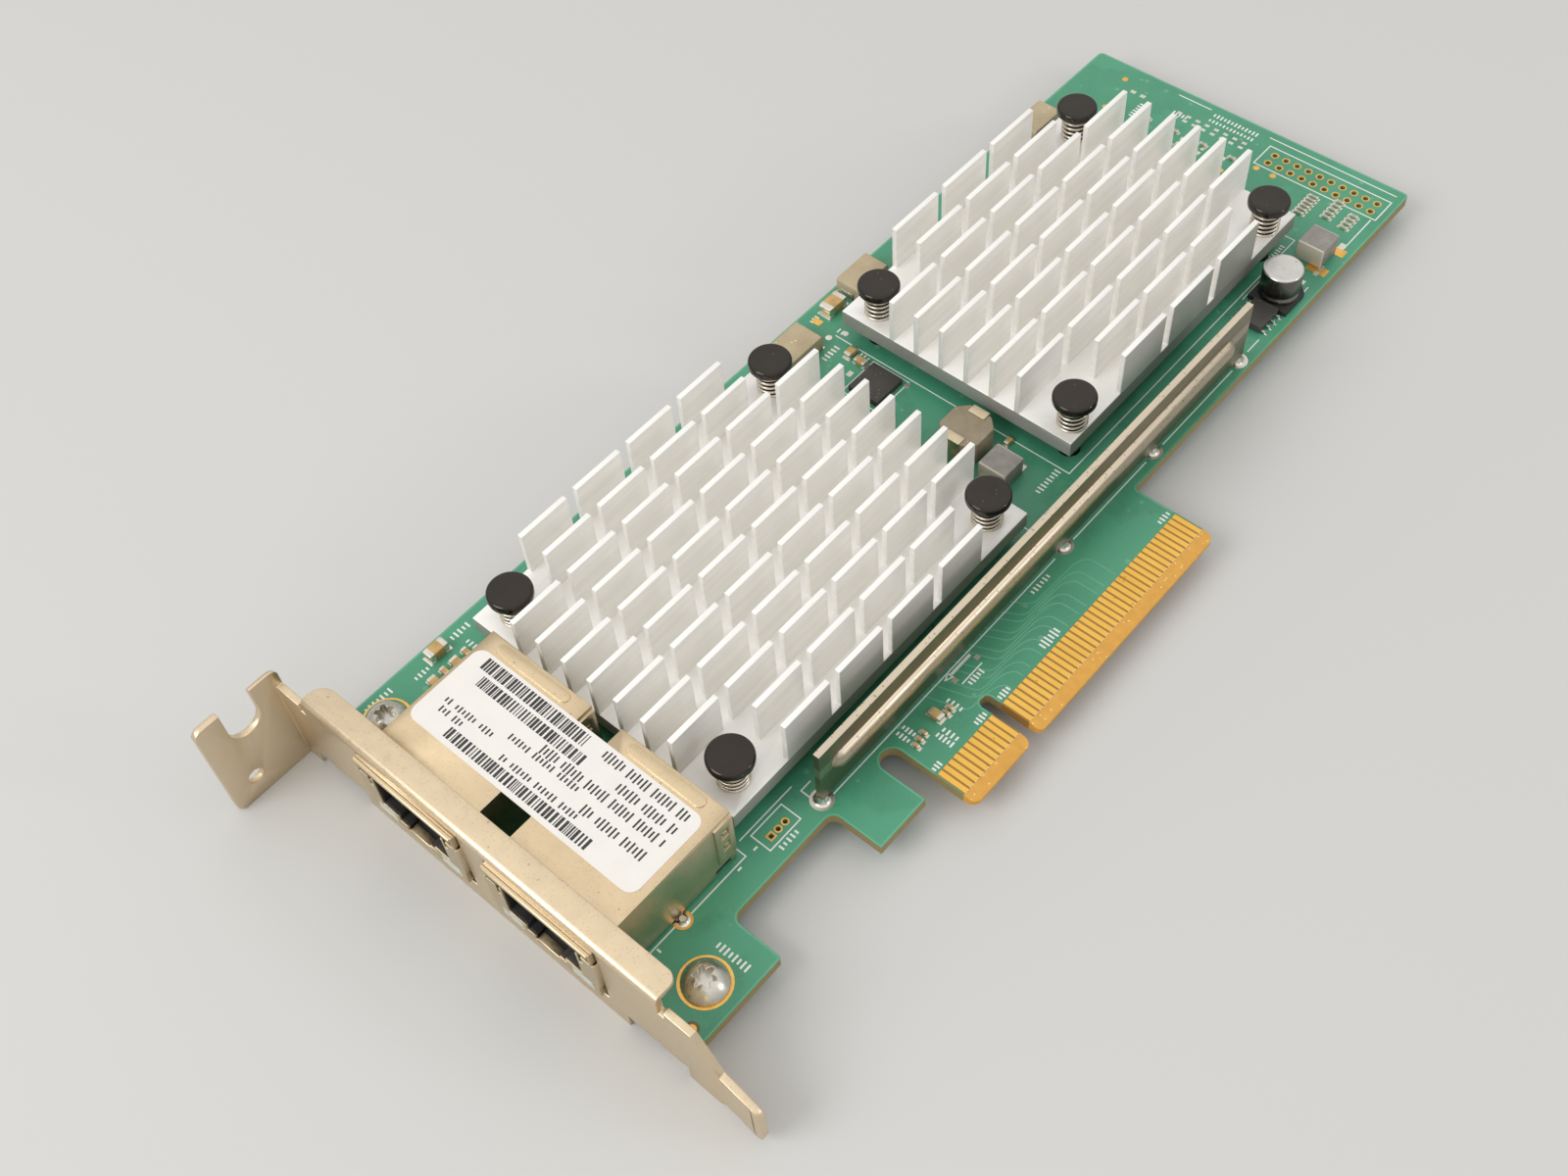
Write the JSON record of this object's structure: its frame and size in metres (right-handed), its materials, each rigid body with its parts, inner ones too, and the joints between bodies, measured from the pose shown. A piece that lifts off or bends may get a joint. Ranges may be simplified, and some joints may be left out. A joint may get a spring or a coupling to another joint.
{
  "type": "network interface card",
  "caption": "Low-profile network adapter card with shielded cable sockets at a steel bracket, finned heat sinks held by sprung pins, and an edge connector along one side.",
  "frame": {"origin": "centre line of the first edge contact, at the mating edge of the tongue, on the component face of the board", "axes": "+X along the board from the bracket to the tail, +Y from the edge connector to the opposite long edge, +Z out of the component face"},
  "size_m": [0.1804, 0.0792, 0.0184],
  "materials": {
    "solder_mask": "green solder mask over glass-fibre board, tan cut edges",
    "gold_plate": "gold plated",
    "bracket_steel": "nickel-plated sheet, satin",
    "screw_steel": "zinc plated",
    "tinned_shell": "tinned sheet, satin",
    "black_moulding": "black glass-filled moulding",
    "light_lens": "clear frosted lens",
    "label_film": "white coated label",
    "sink_aluminium": "milled, fine lines along the fins",
    "chip_body": "black moulded package",
    "thermal_film": "grey thermal pad",
    "pin_nylon": "black nylon",
    "spring_steel": "drawn spring wire",
    "stiffener_steel": "tinned sheet, satin",
    "solder": "bright solder and tin",
    "ferrite": "khaki ferrite body",
    "grey_moulding": "dark grey body",
    "can_aluminium": "bright drawn can, printed sector",
    "tan_moulding": "tan moulded body",
    "tan_ceramic": "fired ceramic with plated ends",
    "dark_ceramic": "dark film on ceramic"
  },
  "bodies": {
    "root": {"block_inductors": "grey_moulding", "board": "solder_mask", "bracket": "bracket_steel", "bracket_screws": "screw_steel", "can_capacitor": "can_aluminium", "can_seat": "black_moulding", "ceramic_capacitors": "tan_ceramic", "chip_far": "chip_body", "chip_near": "chip_body", "chip_resistors": "dark_ceramic", "edge_contacts": "gold_plate", "heat_sink_far": "sink_aluminium", "heat_sink_near": "sink_aluminium", "jack_contacts_far": "gold_plate", "jack_contacts_near": "gold_plate", "jack_insert_far": "black_moulding", "jack_insert_near": "black_moulding", "jack_lights": "light_lens", "jack_magnetics_far": "black_moulding", "jack_magnetics_near": "black_moulding", "jack_pins_far": "solder", "jack_pins_near": "solder", "jack_shell_far": "tinned_shell", "jack_shell_near": "tinned_shell", "label": "label_film", "moulded_capacitor_leads": "solder", "moulded_capacitors": "tan_moulding", "pin_springs_far": "spring_steel", "pin_springs_near": "spring_steel", "power_chip": "chip_body", "power_inductor": "ferrite", "power_inductor_terminals": "solder", "push_pins_far": "pin_nylon", "push_pins_near": "pin_nylon", "regulator": "chip_body", "regulator_legs": "solder", "solder_joints": "solder", "stiffener": "stiffener_steel", "thermal_pad_far": "thermal_film", "thermal_pad_near": "thermal_film"}
  },
  "joints": []
}
